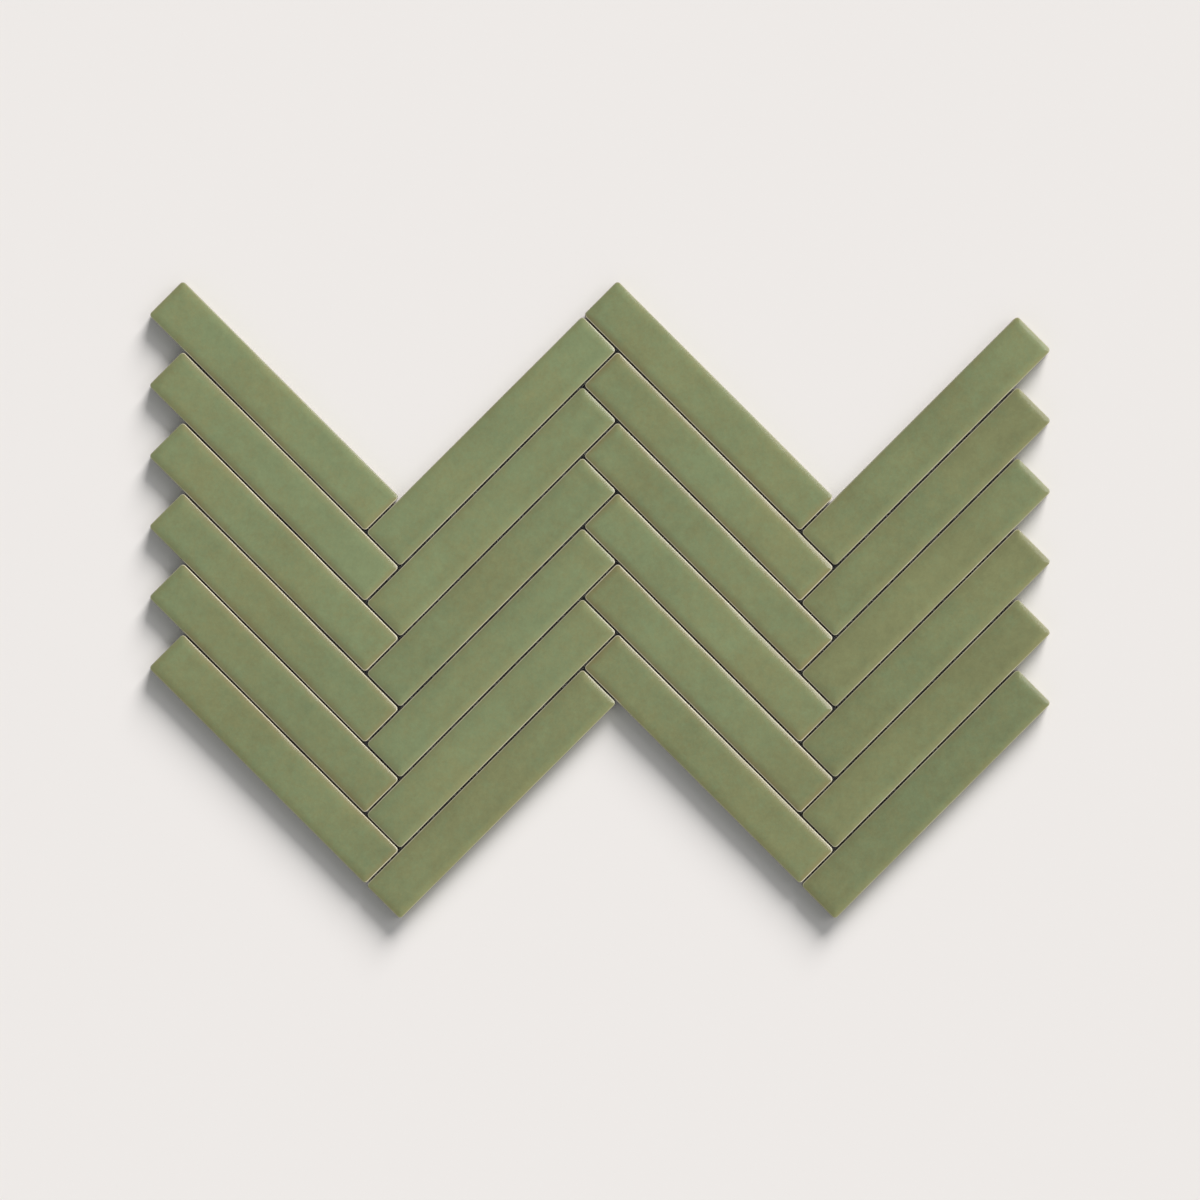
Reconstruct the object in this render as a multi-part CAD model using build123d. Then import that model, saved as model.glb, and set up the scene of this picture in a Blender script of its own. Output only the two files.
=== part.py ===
"""Herringbone mosaic sheet: slender glazed ceramic bars laid at 45 degrees in columns that lean
alternately left and right, held together from behind by an open net.

Units are millimetres. +X runs across the columns, +Y up the rows and +Z out of the glazed face.
The origin is at the middle of the sheet's outline, on the plane of its back.
"""

import os
from math import acos, degrees, sqrt

from build123d import *

# Sheet: how many bars there are across and down
columns = 4
rows = 6

# Bars
bar_length = 145.0
bar_width = 23.2
bar_thickness = 8.0
joint = 0.4

# Edges of a bar: soft shoulders that fall from the flat crown, a small nose where they meet the
# sides, rounded upright corners and a broken arris round the back
shoulder_width = 4.3
shoulder_drop = 0.7
nose_radius = 0.3
corner_radius = 1.8
back_arris = 0.5

# Net behind the bars, and the film of glue between it and their backs
net_thickness = 0.4
strand_width = 1.0
strand_pitch = 10.0
net_inset = 3.0
glue_film = 0.1

# The shoulder's arc runs level into the crown, and the nose's arc touches it and the side
shoulder_radius = (shoulder_width**2 + shoulder_drop**2) / (2 * shoulder_drop)
centre_gap = shoulder_radius - nose_radius
centre_run = shoulder_width - nose_radius
nose_turn = degrees(acos(centre_run / centre_gap))
nose_height = bar_thickness - shoulder_radius + sqrt(centre_gap**2 - centre_run**2)

# Height of the bars' backs above the net's
bar_seat = net_thickness + glue_film

# Steps from one bar to the next: end to side, and side to side
end_step = bar_length + joint
side_step = bar_width + joint
diagonal = sqrt(2)

# Outline of the laid bars, with (0, 0) at the left corner of the first bar
sheet_right = (columns * bar_length + (columns - 1) * joint + bar_width) / diagonal
sheet_top = bar_width / diagonal
sheet_bottom = -(end_step + bar_width) / diagonal - (rows - 1) * diagonal * side_step
sheet_middle = Vector(sheet_right / 2, (sheet_top + sheet_bottom) / 2)


def sheet_point(down, up, height):
    """Place on the sheet from distances along the falling and the rising diagonal."""
    return Vector((down + up) / diagonal, (up - down) / diagonal, height) - sheet_middle


def section(span, reach):
    """Upright section of a bar that is `span` wide: the last `reach` of it, out to one side."""
    side = span / 2
    crown_end = side - shoulder_width
    shoulder_centre = (crown_end, bar_thickness - shoulder_radius)
    nose_centre = (side - nose_radius, nose_height)
    with BuildSketch(Plane.XZ) as outline:
        with BuildLine():
            arris = Polyline((0, 0), (side - back_arris, 0), (side, back_arris))
            Line(arris @ 1, (side, nose_height))
            CenterArc(nose_centre, nose_radius, 0, nose_turn)
            shoulder = CenterArc(shoulder_centre, shoulder_radius, nose_turn, 90 - nose_turn)
            Polyline(shoulder @ 1, (0, bar_thickness), (0, 0))
        make_face()
        with Locations((side - reach / 2, bar_thickness / 2)):
            Rectangle(reach, bar_thickness, mode=Mode.INTERSECT)
    return outline.sketch


def eased_prism(span, depth):
    """Prism along Y that has the upright section over its full `span`."""
    half = extrude(section(span, span / 2), depth / 2, both=True)
    return half + mirror(half, Plane.YZ)


def rounded_corner():
    """Quarter turn of the section's outer part about the axis of one upright corner."""
    axis_x = bar_length / 2 - corner_radius
    axis_y = bar_width / 2 - corner_radius
    outer = Pos(0, axis_y) * section(bar_length, corner_radius)
    return revolve(outer, Axis((axis_x, axis_y, 0), (0, 0, 1)), 90)


def make_bar():
    """One bar lying along X, centred, with its back on the XY plane."""
    square = eased_prism(bar_length, bar_width) & Rot(Z=90) * eased_prism(bar_width, bar_length)
    corner = rounded_corner()
    for mirrored in (corner, mirror(corner, Plane.YZ)):
        for quarter in (mirrored, mirror(mirrored, Plane.XZ)):
            middle = quarter.bounding_box().center()
            square -= Pos(middle.X, middle.Y, bar_thickness / 2) * Box(
                corner_radius, corner_radius, bar_thickness)
            square += quarter
    return square


def bar_place(column, row):
    """Location of a bar; even columns fall to the right and odd columns rise to the right."""
    pair = column // 2
    falls = column % 2 == 0
    corner_down = pair * end_step + (0 if falls else end_step) + row * side_step
    corner_up = pair * end_step - row * side_step
    half_down = (bar_length if falls else bar_width) / 2
    half_up = (bar_width if falls else bar_length) / 2
    middle = sheet_point(corner_down + half_down, corner_up + half_up, bar_seat)
    return Location(middle, (0, 0, -45 if falls else 45))


def net_outline(column):
    """Corners of the net behind one column: upright sides, and slanting top and bottom edges."""
    pair = column // 2
    left = (column * end_step + bar_width) / diagonal
    right = left + end_step / diagonal
    if column == 0:
        left += net_inset
    if column == columns - 1:
        right = (columns * bar_length + (columns - 1) * joint) / diagonal - net_inset
    drop = (rows - 1) * side_step
    if column % 2 == 0:
        top = pair * end_step + bar_width - net_inset
        bottom = pair * end_step - drop + net_inset
        corners = [(x, diagonal * up - x) for up, x in
                   ((bottom, left), (bottom, right), (top, right), (top, left))]
    else:
        top = (pair + 1) * end_step + net_inset
        bottom = (pair + 1) * end_step + bar_width + drop - net_inset
        corners = [(x, x - diagonal * down) for down, x in
                   ((bottom, left), (bottom, right), (top, right), (top, left))]
    return [(x - sheet_middle.X, y - sheet_middle.Y) for x, y in corners]


def make_net(column):
    """Net behind one column: strands up and across, fused where they cross, cut to the outline."""
    corners = net_outline(column)
    left = min(x for x, _ in corners)
    right = max(x for x, _ in corners)
    low = min(y for _, y in corners)
    high = max(y for _, y in corners)
    upright_count = max(1, round((right - left) / strand_pitch))
    upright_pitch = (right - left) / upright_count
    upright = [
        Pos(left + (i + 0.5) * upright_pitch, (low + high) / 2) * Rectangle(strand_width, high - low)
        for i in range(upright_count)
    ]
    across = [
        Pos((left + right) / 2, j * strand_pitch) * Rectangle(right - left, strand_width)
        for j in range(round(low / strand_pitch), round(high / strand_pitch) + 1)
    ]
    outline = Polygon(*corners, align=None)
    strands = extrude((Sketch() + upright + across) & outline, net_thickness)
    # Short ends that cross no other strand fall away when the net is cut
    return max(strands.solids(), key=lambda solid: solid.volume)


os.makedirs("parts", exist_ok=True)
bar = make_bar()
for column in range(columns):
    export_step(make_net(column), f"parts/backing_net_column{column + 1}.step")
    for row in range(rows):
        export_step(bar_place(column, row) * bar, f"parts/bar_column{column + 1}_row{row + 1}.step")
print(f"bars at {joint} mm joints, outline before corner rounding "
      f"{sheet_right:.2f} x {sheet_top - sheet_bottom:.2f} mm")
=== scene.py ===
# %% [markdown]
# # A herringbone sheet of glazed bars
# The object is a mosaic sheet: 24 slender ceramic bars under a satin green glaze, laid at 45 degrees in
# four columns that lean left and right in turn. A net glued across their backs holds them together.
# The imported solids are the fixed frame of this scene, so the first step loads them and sorts their
# names.

# %% Load the solids
import math
import random

import bpy
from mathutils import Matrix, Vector


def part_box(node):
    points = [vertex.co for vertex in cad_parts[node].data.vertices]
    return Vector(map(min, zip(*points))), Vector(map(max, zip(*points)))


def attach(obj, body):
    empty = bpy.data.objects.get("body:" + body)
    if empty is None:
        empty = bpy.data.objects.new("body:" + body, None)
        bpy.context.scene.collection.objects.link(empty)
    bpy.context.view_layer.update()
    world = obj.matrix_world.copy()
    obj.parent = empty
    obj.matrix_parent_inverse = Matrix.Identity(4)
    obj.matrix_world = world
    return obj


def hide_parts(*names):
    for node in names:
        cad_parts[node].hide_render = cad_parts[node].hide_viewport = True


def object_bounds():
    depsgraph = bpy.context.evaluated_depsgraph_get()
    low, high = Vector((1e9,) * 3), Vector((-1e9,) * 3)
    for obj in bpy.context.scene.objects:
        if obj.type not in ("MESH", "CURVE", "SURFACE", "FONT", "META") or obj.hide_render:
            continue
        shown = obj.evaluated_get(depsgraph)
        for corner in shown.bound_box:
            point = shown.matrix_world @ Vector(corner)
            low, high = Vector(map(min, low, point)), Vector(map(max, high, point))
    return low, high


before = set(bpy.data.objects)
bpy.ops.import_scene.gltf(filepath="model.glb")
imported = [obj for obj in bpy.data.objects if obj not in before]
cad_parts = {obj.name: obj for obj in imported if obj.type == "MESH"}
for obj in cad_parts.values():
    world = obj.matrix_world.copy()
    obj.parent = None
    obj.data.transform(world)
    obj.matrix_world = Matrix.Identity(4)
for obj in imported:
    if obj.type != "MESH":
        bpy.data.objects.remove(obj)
cad_low, cad_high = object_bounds()
bar_nodes = sorted(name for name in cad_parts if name.startswith("bar_"))
net_nodes = sorted(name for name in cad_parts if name.startswith("backing_net_"))
print(len(bar_nodes), "bars and", len(net_nodes), "pieces of net")

# %% [markdown]
# ## Sizes
# A bar's length and width could be typed in again, but then they would drift from the solids. They are
# measured instead. The bars lie along two diagonals, so a solid's reach is taken along each of those,
# and the longer of the two is the way that the bar runs.

# %% Measure a bar and the step between bars
mm = 0.001
falling = Vector((1, -1, 0)).normalized()
rising = Vector((1, 1, 0)).normalized()


def reach_along(node, direction):
    """How far a solid reaches along a direction."""
    places = [vertex.co.dot(direction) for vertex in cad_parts[node].data.vertices]
    return max(places) - min(places)


def middle_of(node):
    """Middle of a solid's box."""
    low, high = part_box(node)
    return (low + high) / 2


first_bar = "bar_column1_row1"
next_bar = "bar_column1_row2"
solid_length = reach_along(first_bar, falling)
solid_width = reach_along(first_bar, rising)
bar_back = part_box(first_bar)[0].z
bar_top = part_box(first_bar)[1].z
bar_step = (middle_of(first_bar) - middle_of(next_bar)).dot(rising)
joint = bar_step - solid_width
print(f"bar {solid_length / mm:.2f} x {solid_width / mm:.2f} x {(bar_top - bar_back) / mm:.2f} mm,"
      f" joint {joint / mm:.2f} mm")

# %% [markdown]
# ## Camera
# The sheet is seen from straight above, with almost no perspective, so the camera hangs high over its
# middle with a long lens. The picture's scale could be tried out by eye. It comes instead from one
# distance that shows well in the photograph: the step from one bar to the next, across their width.

# %% Hang the camera over the sheet
photo_side_px = 1200
bar_step_px = 49.92
lens_mm = 200
sensor_mm = 36

picture_side = photo_side_px * bar_step / bar_step_px
camera_height = picture_side * lens_mm / sensor_mm
bpy.ops.object.camera_add(location=(0, 0, bar_top + camera_height), rotation=(0, 0, 0))
camera = bpy.context.object
camera.name = "camera"
camera.data.lens = lens_mm
camera.data.sensor_width = sensor_mm
bpy.context.scene.camera = camera
print(f"the picture is {picture_side / mm:.1f} mm wide, from {camera_height:.2f} m above the glaze")

# %% [markdown]
# ## Light
# The photograph has an even, pale ground. Lamps near the sheet would light it unevenly, so an even sky
# and wide suns do the work. Each sun gives a level surface its share of the light, and with the sky the
# shares add up to about one, so that a colour renders about as it is written. The glaze is lit from the
# right, but the shadow on the ground falls further down than that lamp would throw it, so the ground
# has suns of its own, and light linking keeps each sun to what it lights. The sky is a little cool and
# the suns a little warm, which leaves lit surfaces neutral and shadows cool.

# %% Set the view and the sky
scene = bpy.context.scene
scene.view_settings.view_transform = "Standard"
sky_share = 0.25
sky_colour = (0.96, 1.01, 1.03, 1)

world = bpy.data.worlds.new("even_sky")
world.use_nodes = True
background = world.node_tree.nodes["Background"]
background.inputs["Color"].default_value = sky_colour
background.inputs["Strength"].default_value = sky_share
scene.world = world
print(f"the sky gives {sky_share:.0%} of the light")

# %% Set three suns on the ground and one on the sheet
sun_colour = (1.0, 0.985, 0.98)
lit_ground = bpy.data.collections.new("lit_ground")
lit_sheet = bpy.data.collections.new("lit_sheet")


def add_sun(name, share, azimuth, elevation, width, lit):
    """Adds a sun that gives the level surfaces of a collection this share of their light."""
    tilt = math.radians(90 - elevation)
    bpy.ops.object.light_add(type="SUN", rotation=(0, tilt, math.radians(azimuth)))
    sun = bpy.context.object
    sun.name = name
    sun.data.energy = share * math.pi / math.sin(math.radians(elevation))
    sun.data.angle = math.radians(width)
    sun.data.color = sun_colour
    sun.light_linking.receiver_collection = lit
    print(f"{name}: {share:.0%} of the light, from {azimuth} degrees, {elevation} degrees high")


add_sun("low_ground_sun", share=0.635, azimuth=64.5, elevation=25.5, width=29, lit=lit_ground)
add_sun("high_ground_sun", share=0.08, azimuth=18, elevation=47, width=29, lit=lit_ground)
add_sun("ground_fill", share=0.045, azimuth=225, elevation=40, width=60, lit=lit_ground)
add_sun("key_sun", share=0.76, azimuth=15, elevation=39, width=54, lit=lit_sheet)

# %% [markdown]
# ## Shader maths
# A finish is a sum of small effects, and a tree of nodes that is wired by hand hides that sum. A small
# class wraps a socket, so that an expression such as `1 - mask` adds its own Math nodes.

# %% Wrap a socket for shader sums


class Wire:
    """A socket in a node tree that can be used in sums."""

    def __init__(self, tree, socket=None):
        self.tree = tree
        self.socket = socket

    def add(self, kind, settings, values, output=0):
        """Adds a node: first its settings, then the values or links of its sockets."""
        node = self.tree.nodes.new(kind)
        for name, value in settings.items():
            setattr(node, name, value)
        for key, value in values.items():
            if isinstance(value, Wire):
                self.tree.links.new(value.socket, node.inputs[key])
            else:
                node.inputs[key].default_value = value
        return Wire(self.tree, node.outputs[output])

    def maths(self, operation, *values):
        """Adds a Math node for some values."""
        return self.add("ShaderNodeMath", {"operation": operation}, dict(enumerate(values)))

    def __add__(self, other):
        return self.maths("ADD", self, other)

    def __sub__(self, other):
        return self.maths("SUBTRACT", self, other)

    def __rsub__(self, other):
        return self.maths("SUBTRACT", other, self)

    def __mul__(self, other):
        return self.maths("MULTIPLY", self, other)

    __radd__ = __add__
    __rmul__ = __mul__


print("sums of wires add their own nodes")

# %% Add the helpers that every finish uses


def rise_between(value, low, high):
    """Smooth step of a value, from 0 at low to 1 at high."""
    sockets = {"Value": value, "From Min": low, "From Max": high}
    return value.add("ShaderNodeMapRange", {"interpolation_type": "SMOOTHSTEP"}, sockets)


def blend(first, second, share):
    """Colour that goes from the first to the second as share goes from 0 to 1."""
    sockets = {0: share, 6: first, 7: second}
    return share.add("ShaderNodeMix", {"data_type": "RGBA"}, sockets, output=2)


def new_finish(name):
    """Adds a material and returns it with its shader and a loose wire for its nodes."""
    finish = bpy.data.materials.new(name)
    finish.use_nodes = True
    return finish, finish.node_tree.nodes["Principled BSDF"], Wire(finish.node_tree)


def plug(wire, shader, name):
    """Links a wire to one of the shader's sockets."""
    wire.tree.links.new(wire.socket, shader.inputs[name])


print("finishes can be mixed")

# %% [markdown]
# ## Floor
# The ground is one even off-white with no shine, so that the bars' shadow is the only thing on it. A
# backdrop that curves up behind the object would never show from above, so a plane is enough.

# %% Lay the floor
floor_side = 8.0
floor_colour = (0.855, 0.823, 0.799, 1)

floor_finish, floor_shader, _ = new_finish("pale_floor")
floor_shader.inputs["Base Color"].default_value = floor_colour
floor_shader.inputs["Roughness"].default_value = 1.0
floor_shader.inputs["Specular IOR Level"].default_value = 0.0
bpy.ops.object.select_all(action="DESELECT")
bpy.ops.mesh.primitive_plane_add(size=floor_side, location=(0, 0, 0))
floor = bpy.context.object
floor.name = "floor"
floor.data.materials.append(floor_finish)
lit_ground.objects.link(floor)
print(f"floor of {floor_side} m at z = 0")

# %% [markdown]
# ## One bar
# Each bar was pressed in a die and glazed. Its crown is flat, soft shoulders fall towards the edges, and
# a small nose turns down into the sides. A bevel could only cut all of that at one width and depth, so
# the bar is raised from a block: its top face is extruded again and again, each time a little further
# in, and its outline keeps rounded corners all the way up. The bar is a hair smaller than its solid all
# round, which gives it room to be uneven and opens the joints to the width that they seem to have.

# %% Work out the bar's sizes
spare = 0.135 * mm
bar_length = solid_length - 2 * spare
bar_width = solid_width - 2 * spare
shoulder_width = 4.3 * mm
shoulder_drop = 0.7 * mm
nose_radius = 0.3 * mm
corner_radius = 1.8 * mm
back_arris = 0.5 * mm

shoulder_radius = (shoulder_width**2 + shoulder_drop**2) / (2 * shoulder_drop)
centre_run = shoulder_width - nose_radius
centre_gap = shoulder_radius - nose_radius
nose_turn = math.acos(centre_run / centre_gap)
nose_start = bar_top - shoulder_radius + math.sqrt(centre_gap**2 - centre_run**2)
block_low = bar_back + back_arris
print(f"block from {block_low / mm:.2f} to {nose_start / mm:.2f} mm, crown at {bar_top / mm:.2f} mm")

# %% Start from a block with rounded upright corners
corner_segments = 6
tolerance = 0.01 * mm


def select(piece, kind, test):
    """Goes into edit mode with the edges or faces selected that pass a test."""
    bpy.ops.object.mode_set(mode="EDIT")
    bpy.ops.mesh.select_mode(type=kind)
    bpy.ops.mesh.select_all(action="DESELECT")
    bpy.ops.object.mode_set(mode="OBJECT")
    elements = {"EDGE": piece.data.edges, "FACE": piece.data.polygons}[kind]
    for element in elements:
        element.select = test(element)
    bpy.ops.object.mode_set(mode="EDIT")


def is_upright(edge):
    """True for an edge of the bar that runs straight up."""
    start, end = (master.data.vertices[i].co for i in edge.vertices)
    return (start - end).xy.length < tolerance


bpy.ops.object.select_all(action="DESELECT")
bpy.ops.mesh.primitive_cube_add(size=1, location=(0, 0, (block_low + nose_start) / 2),
                                scale=(bar_length, bar_width, nose_start - block_low))
master = bpy.context.object
master.name = "bar_master"
bpy.ops.object.transform_apply(location=True, rotation=False, scale=True)
select(master, "EDGE", is_upright)
bpy.ops.mesh.bevel(offset=corner_radius, segments=corner_segments, affect="EDGES")
bpy.ops.object.mode_set(mode="OBJECT")
print(len(master.data.polygons), "faces in the block")

# %% Raise the nose, the shoulders and the crown ring by ring
nose_steps = 5
shoulder_steps = 10
straight = 0.999


def edge_profile():
    """Distance in from the side and height above the block, ring by ring from the side to the crown."""
    rings = [(0.0, 0.0)]
    for i in range(1, nose_steps + 1):
        turn = nose_turn * i / nose_steps
        rings.append((nose_radius * (1 - math.cos(turn)), nose_radius * math.sin(turn)))
    nose_end = rings[-1][0]
    for i in range(1, shoulder_steps + 1):
        gap = nose_end + (shoulder_width - nose_end) * i / shoulder_steps
        fall = shoulder_radius - math.sqrt(shoulder_radius**2 - (shoulder_width - gap)**2)
        rings.append((gap, bar_top - fall - nose_start))
    return rings


def draw_in(rise, gap, next_gap):
    """Extrudes the selected face upwards and draws its outline in by the difference of two gaps."""
    bpy.ops.mesh.extrude_region_move(TRANSFORM_OT_translate={"value": (0, 0, rise)})
    scale = [(span - 2 * next_gap) / (span - 2 * gap) for span in (bar_length, bar_width)]
    bpy.ops.transform.resize(value=(*scale, 1), center_override=(0, 0, 0))


select(master, "FACE", lambda face: face.normal.z > straight)
rings = edge_profile()
for (gap, height), (next_gap, next_height) in zip(rings, rings[1:]):
    draw_in(next_height - height, gap, next_gap)
select(master, "FACE", lambda face: face.normal.z < -straight)
draw_in(-back_arris, 0.0, back_arris)
bpy.ops.object.mode_set(mode="OBJECT")
print(len(master.data.polygons), "faces with the edges raised")

# %% Cut the bar into a grid fine enough to be uneven
cut_step = 3.0 * mm
side_cuts = (0.3, 0.6, 0.92)
softest_crease = math.radians(35)


def cut(place, normal):
    """Cuts the whole bar along a plane, leaving both sides."""
    bpy.ops.mesh.select_all(action="SELECT")
    bpy.ops.mesh.bisect(plane_co=place, plane_no=normal)


def cuts_across(span):
    """Places of even cuts between the shoulders of a span."""
    crown = span - 2 * shoulder_width
    count = round(crown / cut_step)
    return [crown * (i / count - 0.5) for i in range(1, count)]


bpy.ops.object.mode_set(mode="EDIT")
for x in cuts_across(bar_length):
    cut((x, 0, 0), (1, 0, 0))
for y in cuts_across(bar_width):
    cut((0, y, 0), (0, 1, 0))
for share in side_cuts:
    cut((0, 0, block_low + share * (nose_start - block_low)), (0, 0, 1))
bpy.ops.object.mode_set(mode="OBJECT")
bpy.ops.object.shade_smooth_by_angle(angle=softest_crease)
print(len(master.data.polygons), "faces in the finished bar")

# %% [markdown]
# ## Distance from the edge
# The glaze changes towards a bar's edges, and a fired bar sinks most there, so both need to know how far
# a point is from the edge. A texture map could hold that, but one number at each vertex is enough,
# because the rings lie close together where it matters. Two vertex groups say where the bar may be
# uneven: its shoulders, and all of it but the back, which stays flat for the glue.

# %% Store each vertex's distance from the edge


def depth_from_edge(place):
    """Distance from the rounded outline, in plan, in millimetres."""
    over_x = abs(place.x) - (bar_length / 2 - corner_radius)
    over_y = abs(place.y) - (bar_width / 2 - corner_radius)
    beyond = math.hypot(max(over_x, 0), max(over_y, 0))
    within = min(max(over_x, over_y), 0)
    return (corner_radius - beyond - within) / mm


def store_numbers(mesh, name, values):
    """Stores one number for each vertex of a mesh."""
    attribute = mesh.attributes.new(name, "FLOAT", "POINT")
    attribute.data.foreach_set("value", values)


depths = [depth_from_edge(vertex.co) for vertex in master.data.vertices]
store_numbers(master.data, "rim_mm", depths)
print(f"the crown is up to {max(depths):.1f} mm from the edge")

# %% Mark where the bar may be uneven
shoulders = master.vertex_groups.new(name="shoulders")
clear_of_back = master.vertex_groups.new(name="clear_of_back")
for vertex, depth in zip(master.data.vertices, depths):
    is_above_side = vertex.co.z > nose_start - tolerance
    share_in = max(0.0, 1 - depth * mm / shoulder_width)
    shoulders.add([vertex.index], share_in if is_above_side else 0.0, "REPLACE")
    clear_of_back.add([vertex.index], float(vertex.co.z > block_low + tolerance), "REPLACE")
print(len(master.vertex_groups), "groups of vertices marked")

# %% [markdown]
# ## Glaze
# A satin green over a buff clay. No two bars come out of the kiln quite alike, and within a bar the
# colour drifts and mottles between green and olive. A picture could be painted for this, but noise in
# nodes has no seams and never repeats. Besides the distance from the edge, each copy of the bar will
# hold three numbers that steer the glaze: how hard it was fired, where it faces another bar across a
# joint, and whether its glaze breaks to brown, as it does on the columns that fall to the right.

# %% Read the place on a bar and its numbers
glaze, glaze_shader, start = new_finish("green_glaze")
on_sheet = start.add("ShaderNodeTexCoord", {}, {}, "Object")


def stored_number(name):
    """The number that the vertices hold under this name."""
    return start.add("ShaderNodeAttribute", {"attribute_name": name}, {}, "Fac")


rim_mm = stored_number("rim_mm")
firing = stored_number("firing")
joint_facing = stored_number("joint_facing")
breaking = stored_number("breaking")
height_mm = start.add("ShaderNodeSeparateXYZ", {}, {0: on_sheet}, "Z") * (1 / mm)
across_sheet = start.add("ShaderNodeSeparateXYZ", {}, {0: on_sheet}, "X") * (1 / cad_high.x)
print(len(glaze.node_tree.nodes), "nodes before the glaze is mixed")

# %% Let the colour drift from green to olive
green = (0.210, 0.253, 0.125, 1)
olive = (0.224, 0.235, 0.108, 1)
whole_bar = 10.0
blotch = 45 * mm
mottle = 8 * mm
apart = 40


def cloud(size, detail, seed, roughness=0.5):
    """Soft noise with features of about this size in metres, far apart from that of other bars."""
    sockets = {"Vector": on_sheet, "W": firing * apart + seed, "Scale": 1 / size, "Detail": detail,
               "Roughness": roughness}
    return start.add("ShaderNodeTexNoise", {"noise_dimensions": "4D"}, sockets)


def centred(noise, reach):
    """A noise with this reach, moved so that it lies about 0."""
    return noise * reach - reach / 2


bar_hue = centred(cloud(whole_bar, 0.0, 31), 1.4)
blotch_hue = centred(cloud(blotch, 1.0, 0), 2.0)
mottle_hue = centred(cloud(mottle, 4.0, 9, 1.0), 3.4)
hue = bar_hue + blotch_hue + mottle_hue + across_sheet * 0.15 + 0.5
colour = blend(green, olive, hue)
print("green, with olive by the bar, in blotches and in mottling")

# %% Let the colour go lighter and darker
blotch_tone = centred(cloud(blotch, 1.0, 5), 0.29)
mottle_tone = centred(cloud(mottle, 4.0, 13, 1.0), 0.50)
inside_shoulder = rise_between(rim_mm, 2.0, 4.5) * (1 - rise_between(rim_mm, 5.0, 10.0))
pooled = inside_shoulder * (1 - breaking) * 0.03
tone = 1.10 - firing * 0.20 + blotch_tone + mottle_tone - pooled
colour = start.add("ShaderNodeVectorMath", {"operation": "SCALE"}, {0: colour, "Scale": tone})
print("lighter and darker by firing, in blotches, in mottling and where the glaze pooled")

# %% [markdown]
# ## Edges and sides
# Towards the edges the glaze breaks to tan, or to brown where a bar of the browner columns faces its
# neighbour. On the nose it is thin, so a patchy cream lip shows, most where bars rub. The sides in the
# joints are painted near black as shade for the deep, narrow gaps, the sheet's outer sides have a thin
# run of glaze, and the foot is bare clay.
# Each zone could be faces with a material of their own, but then their borders would follow the mesh.
# Here they are blended by distance from the edge and by height, which keeps the borders soft.

# %% Break the glaze at the edges
tan = (0.36, 0.27, 0.12, 1)
brown = (0.29, 0.165, 0.06, 1)
cream = (0.69, 0.63, 0.46, 1)
lip_patch = 25 * mm

browned = breaking * joint_facing
edge = (1 - rise_between(rim_mm, 0.0, 3.8)) * (browned * 0.16 + 0.14)
colour = blend(colour, blend(tan, brown, browned), edge)
thinness = (1 - rise_between(rim_mm, 0.25, 0.60)) * (browned * 0.25 + 0.68)
patchy = rise_between(cloud(lip_patch, 1.0, 7), 0.25, 0.65) * 0.4 + 0.6
colour = blend(colour, cream, thinness * patchy * (joint_facing * 0.5 + 0.5))
print("tan and brown shoulders, cream lips")

# %% Colour the sides and the foot
run_glaze = (0.26, 0.28, 0.185, 1)
# near black: painted shade for the sides that face into the narrow joints
painted_joint_shade = (0.03, 0.02, 0.010, 1)
bare_clay = (0.46, 0.41, 0.34, 1)
glaze_drip = 7 * mm
nose_mm = nose_start / mm

on_face = rise_between(height_mm, nose_mm - 0.30, nose_mm + 0.08)
# sides that face another bar get the painted joint shade, and the outer sides get the thin run of glaze
colour = blend(blend(run_glaze, painted_joint_shade, joint_facing), colour, on_face)
glaze_line = cloud(glaze_drip, 2.0, 11) * 0.9 + 0.7
glazed = rise_between(height_mm - glaze_line, -0.15, 0.15)
colour = blend(bare_clay, colour, glazed)
plug(colour, glaze_shader, "Base Color")
print(f"sides below {nose_mm:.2f} mm, with a foot of bare clay")

# %% [markdown]
# ## Shine
# The shine of a glaze is in its clear top, over a colour that scatters light. The shader's own specular
# could give it, but its coat can fade: the sheet's outer edges are a little duller than the rest, and
# bare clay has no shine. A faint ripple keeps the reflections from being perfect.

# %% Give the glaze its shine
clay_roughness = 0.85
glaze_roughness = 0.45
coat_roughness = 0.17
most_dulled = 0.40
ripple_size = 6.0 * mm
ripple_depth = 0.02 * mm

dull_edge = (1 - joint_facing) * (1 - rise_between(rim_mm, 0.5, 4.3))
plug(glazed * (1 - dull_edge * most_dulled), glaze_shader, "Coat Weight")
glaze_shader.inputs["Coat Roughness"].default_value = coat_roughness
glaze_shader.inputs["Specular IOR Level"].default_value = 0.0
plug(clay_roughness - glazed * (clay_roughness - glaze_roughness), glaze_shader, "Roughness")
sockets = {"Strength": 0.20, "Distance": ripple_depth, "Height": cloud(ripple_size, 1.0, 23)}
plug(start.add("ShaderNodeBump", {}, sockets), glaze_shader, "Normal")
print(len(glaze.node_tree.nodes), "nodes in the glaze")

# %% [markdown]
# ## Unevenness
# Pressed and fired bars are never quite straight or quite even. Each could be pushed about by hand, but
# displacing the copies by noise does that with three settings: long waves in the sides, sunk shoulders
# and a fine orange peel. All of them go inwards only, so a copy stays inside its solid. The noise is
# read around an empty, which is moved for each copy.

# %% Set up the unevenness
draw = random.Random(24)
noise_origin = bpy.data.objects.new("noise_origin", None)
scene.collection.objects.link(noise_origin)


def unevenness(name, size, depth, direction, group):
    """Settings for one displacement: the size of its waves, how deep they go, and where."""
    texture = bpy.data.textures.new(name, "CLOUDS")
    texture.noise_scale = size
    texture.noise_depth = 1
    return {"texture": texture, "strength": depth, "direction": direction, "mid_level": 1.0,
            "vertex_group": group, "texture_coords": "OBJECT", "texture_coords_object": noise_origin}


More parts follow.
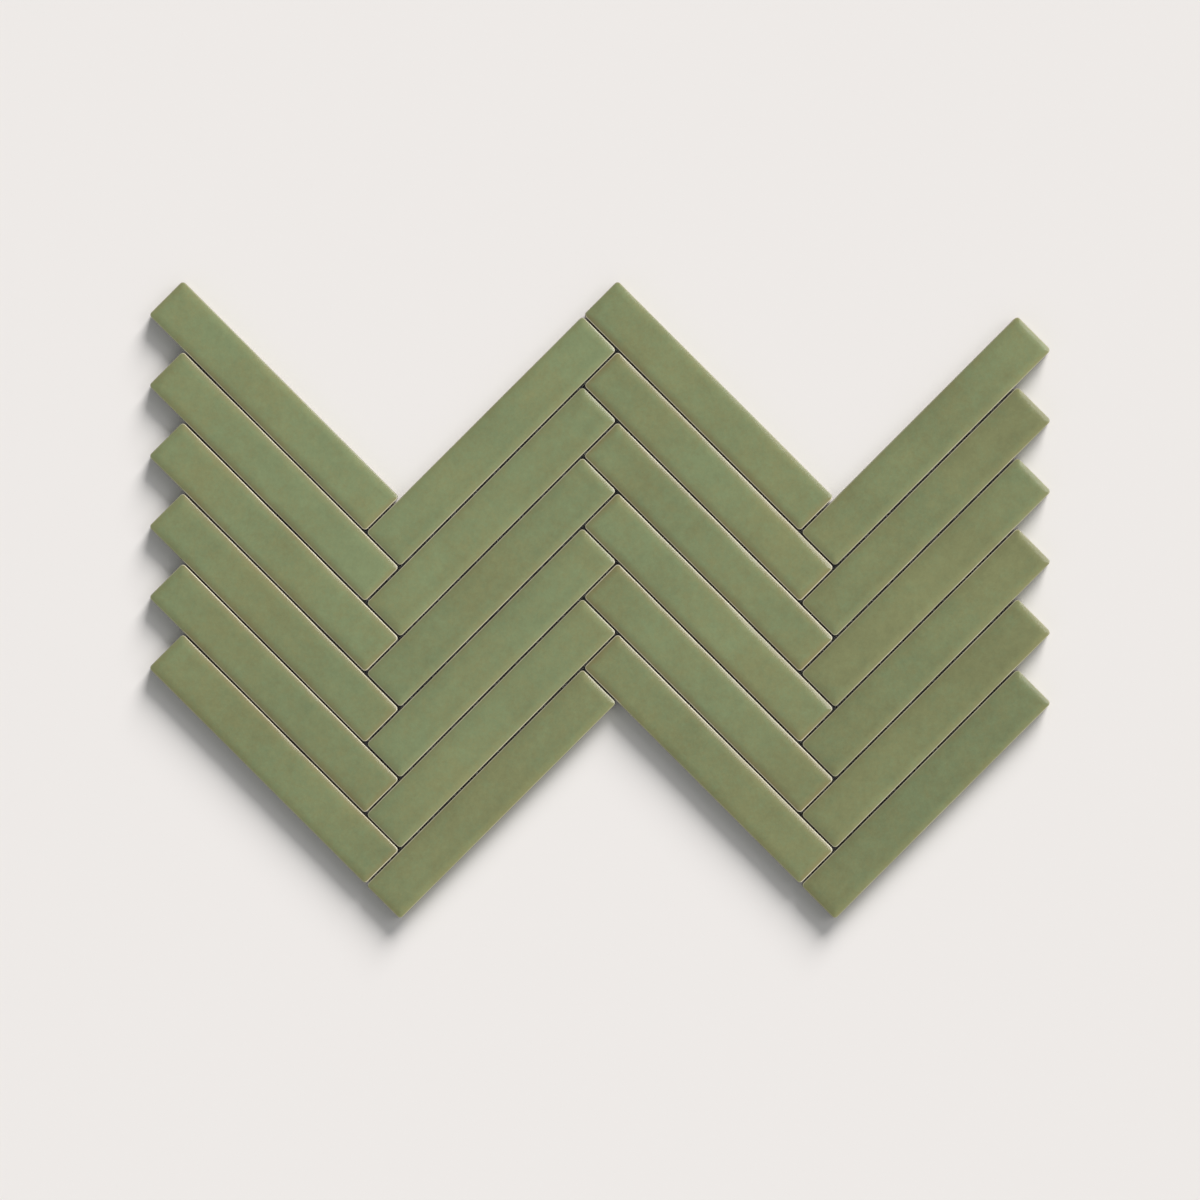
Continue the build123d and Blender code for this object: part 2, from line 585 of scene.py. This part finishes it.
waves = [
    unevenness("wavy_sides", 35 * mm, 0.12 * mm, "NORMAL", "clear_of_back"),
    unevenness("sunk_shoulders", 22 * mm, 0.35 * mm, "Z", "shoulders"),
    unevenness("orange_peel", 7 * mm, 0.02 * mm, "NORMAL", "clear_of_back"),
]
print(len(waves), "kinds of unevenness")

# %% [markdown]
# ## Where bars face each other
# Edges inside the sheet are rubbed, and their sides get painted shade, while edges on its outline get
# neither. Which is which could be listed bar by bar, but a rule is shorter: step out from a point across
# the nearest joint, and ask whether that lands on another bar.

# %% Find where a bar faces another
step_out_mm = 5
runs_falling = {node: reach_along(node, falling) > reach_along(node, rising) for node in bar_nodes}
middles = {node: middle_of(node) for node in bar_nodes}


def is_covered(place, node):
    """True where a place on the sheet lies within this bar's outline."""
    offset = place - middles[node]
    along, across = (falling, rising) if runs_falling[node] else (rising, falling)
    return abs(offset.dot(along)) < solid_length / 2 and abs(offset.dot(across)) < solid_width / 2


def faces_another(place, depth, node):
    """True where another bar lies across the joint from a place near the edge of this bar."""
    if bar_length / 2 - abs(place.x) < bar_width / 2 - abs(place.y):
        outwards = Vector((math.copysign(1, place.x), 0, 0))
    else:
        outwards = Vector((0, math.copysign(1, place.y), 0))
    beyond = place + outwards * (depth + step_out_mm) * mm
    along, across = (falling, rising) if runs_falling[node] else (rising, -falling)
    beyond = middles[node] + along * beyond.x + across * beyond.y
    return any(is_covered(beyond, other) for other in bar_nodes if other != node)


print(sum(runs_falling.values()), "of", len(bar_nodes), "bars fall to the right")

# %% [markdown]
# ## All the bars
# Copies of the one bar go where the solids are. Linked copies would share a mesh, but each bar has its
# own unevenness and its own numbers, so each copy has a mesh of its own. It is made uneven, gets its
# numbers, and is then turned and moved a hair off true. That is applied, so its place is in its mesh.
# The joints between the rising bars show a little wider than the others, so those bars are trimmed.

# %% Say how a bar is copied and made uneven


def uneven_copy(node):
    """Copies the bar for a node and displaces it by noise from a place of its own."""
    bpy.ops.object.select_all(action="DESELECT")
    master.select_set(True)
    bpy.context.view_layer.objects.active = master
    bpy.ops.object.duplicate()
    bar = bpy.context.object
    bar.name = node + "_glazed"
    noise_origin.location = [draw.uniform(-1, 1) for _ in range(3)]
    for wave in waves:
        bpy.ops.object.modifier_add(type="DISPLACE")
        for name, value in wave.items():
            setattr(bar.modifiers[-1], name, value)
        bpy.ops.object.modifier_apply(modifier=bar.modifiers[-1].name)
    return bar


deepest = sum(wave["strength"] for wave in waves)
print(f"a copy is cut back by less than {deepest / mm:.2f} mm")

# %% Say which numbers a bar holds
edge_zone_mm = 8
kiln_slope = 0.4
kiln_share = 0.65


def number(mesh, node):
    """Stores how hard a bar was fired, where it faces another bar across a joint, and whether it breaks
    brown.
    """
    middle = middles[node]
    in_kiln = 0.5 + kiln_slope * middle.x / cad_high.x - kiln_slope * middle.y / cad_high.y
    fired = kiln_share * in_kiln + (1 - kiln_share) * draw.random()
    # where a bar faces another, its lips are rubbed and its sides take the painted joint shade
    joint_flags = [float(depth < edge_zone_mm and faces_another(vertex.co, depth, node))
            for vertex, depth in zip(mesh.vertices, depths)]
    store_numbers(mesh, "firing", [fired] * len(depths))
    store_numbers(mesh, "joint_facing", joint_flags)
    store_numbers(mesh, "breaking", [float(runs_falling[node])] * len(depths))


print(f"{kiln_share:.0%} of a bar's firing comes from its place in the kiln, and the rest is chance")

# %% Say how a bar is put in its place
rising_trim = 0.09 * mm
slack = 0.03 * mm
largest_turn = 0.02


def put_in_place(bar, node):
    """Turns and moves a bar to its node's place, and applies that to its mesh."""
    middle = middles[node]
    lean = -45 if runs_falling[node] else 45
    bar.scale.y = 1 if runs_falling[node] else 1 - rising_trim / bar_width
    bar.rotation_euler.z = math.radians(lean + draw.uniform(-largest_turn, largest_turn))
    bar.location = (middle.x + draw.uniform(-slack, slack), middle.y + draw.uniform(-slack, slack), 0)
    bpy.ops.object.transform_apply(location=True, rotation=True, scale=True)


print(f"bars may lie {slack / mm:.2f} mm and {largest_turn} degrees off true")

# %% Make every bar
for node in bar_nodes:
    bar = uneven_copy(node)
    number(bar.data, node)
    put_in_place(bar, node)
    bar.data.materials.append(glaze)
    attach(bar, "root")
    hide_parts(node)
    lit_sheet.objects.link(bar)
bpy.data.objects.remove(master)
bpy.data.objects.remove(noise_origin)
print(len(bar_nodes), "bars placed")

# %% [markdown]
# ## Backing net
# The net's solids already have its strands, so they stay. One flat white would look like moulded
# plastic. A fine noise between two shades gives the strands the look of coated yarn.

# %% Coat the net
pale_yarn = (0.80, 0.79, 0.74, 1)
grey_yarn = (0.62, 0.61, 0.56, 1)
fibre_size = 0.6 * mm

net_finish, net_shader, net_start = new_finish("backing_net")
on_net = net_start.add("ShaderNodeTexCoord", {}, {}, "Object")
sockets = {"Vector": on_net, "Scale": 1 / fibre_size, "Detail": 2.0}
fibre = net_start.add("ShaderNodeTexNoise", {}, sockets)
plug(blend(pale_yarn, grey_yarn, fibre), net_shader, "Base Color")
net_shader.inputs["Roughness"].default_value = 0.7
for node in net_nodes:
    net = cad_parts[node]
    net.data.materials.clear()
    net.data.materials.append(net_finish)
    lit_sheet.objects.link(net)
print(len(net_nodes), "pieces of net coated")
